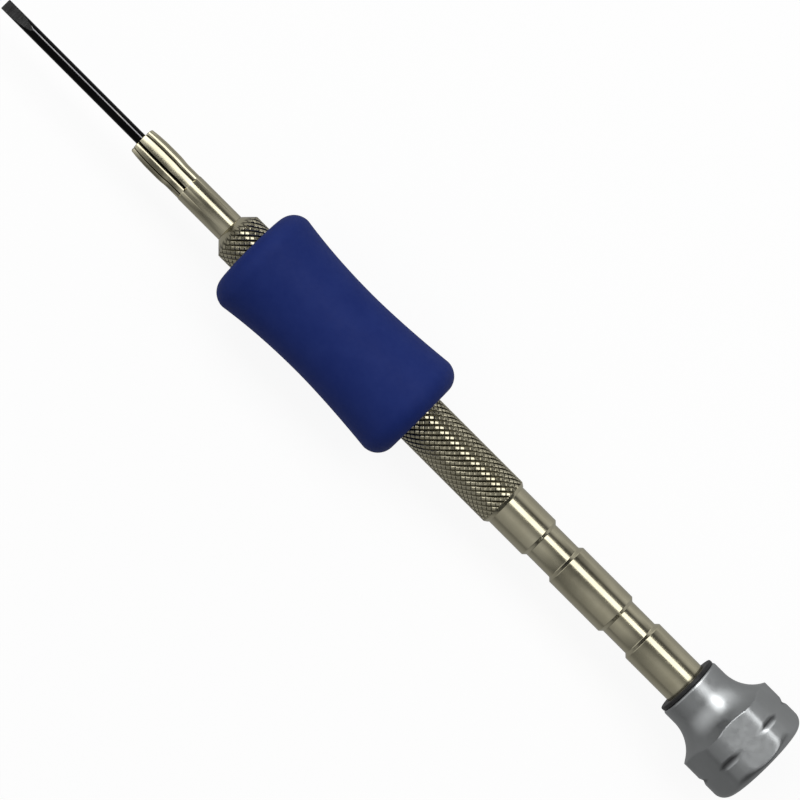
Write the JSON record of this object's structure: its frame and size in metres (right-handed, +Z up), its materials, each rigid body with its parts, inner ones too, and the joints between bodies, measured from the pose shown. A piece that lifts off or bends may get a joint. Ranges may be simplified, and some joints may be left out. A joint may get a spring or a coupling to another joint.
{
  "type": "watchmaker screwdriver",
  "caption": "Slim precision screwdriver with a push-in flat blade in a split nose, a knurled metal handle, a soft blue grip sleeve and a faceted palm head that swivels.",
  "frame": {"origin": "middle of the bounding box's underside, where the lying tool's grip touches the bench", "axes": "+X along the tool from the blade's tip to the swivel head, +Z up from the bench, +Y across"},
  "size_m": [0.1394, 0.0158, 0.0158],
  "materials": {
    "nickel_plate": "polished nickel plate on brass",
    "satin_head": "fine satin, clear anodised",
    "blue_silicone": "matte moulded silicone",
    "black_oxide": "black oxide, with the tip ground bare",
    "bearing_steel": "polished",
    "cage_brass": "turned",
    "black_acetal": "turned",
    "zinc_steel": "zinc plated"
  },
  "bodies": {
    "handle": {"handle_body": "nickel_plate", "chuck_nose": "nickel_plate", "grip_sleeve": "blue_silicone", "bearing_inner_ring": "bearing_steel", "screw_washer": "zinc_steel", "bearing_screw": "zinc_steel"},
    "head": {"swivel_head": "satin_head", "neck_bush": "black_acetal", "spacer_sleeve": "zinc_steel", "bearing_outer_ring": "bearing_steel", "bearing_shield_front": "bearing_steel", "bearing_shield_rear": "bearing_steel"},
    "ball_cage": {"bearing_cage": "cage_brass", "bearing_ball_1": "bearing_steel", "bearing_ball_2": "bearing_steel", "bearing_ball_3": "bearing_steel", "bearing_ball_4": "bearing_steel", "bearing_ball_5": "bearing_steel", "bearing_ball_6": "bearing_steel", "bearing_ball_7": "bearing_steel"},
    "blade": {"blade": "black_oxide"}
  },
  "joints": [
    {"name": "head_spin", "type": "hinge", "parent": "handle", "child": "head", "pos_m": [0.0616, 0, 0.0079], "axis": [1, 0, 0], "continuous": true},
    {"name": "cage_spin", "type": "hinge", "parent": "handle", "child": "ball_cage", "pos_m": [0.06155, 0, 0.0079], "axis": [1, 0, 0], "continuous": true},
    {"name": "blade_pull", "type": "slide", "parent": "handle", "child": "blade", "axis": [-1, 0, 0], "range_m": [0, 0.0195]}
  ],
  "couplings": [
    {"joint": "cage_spin", "follows": "head_spin", "ratio": 0.644}
  ]
}
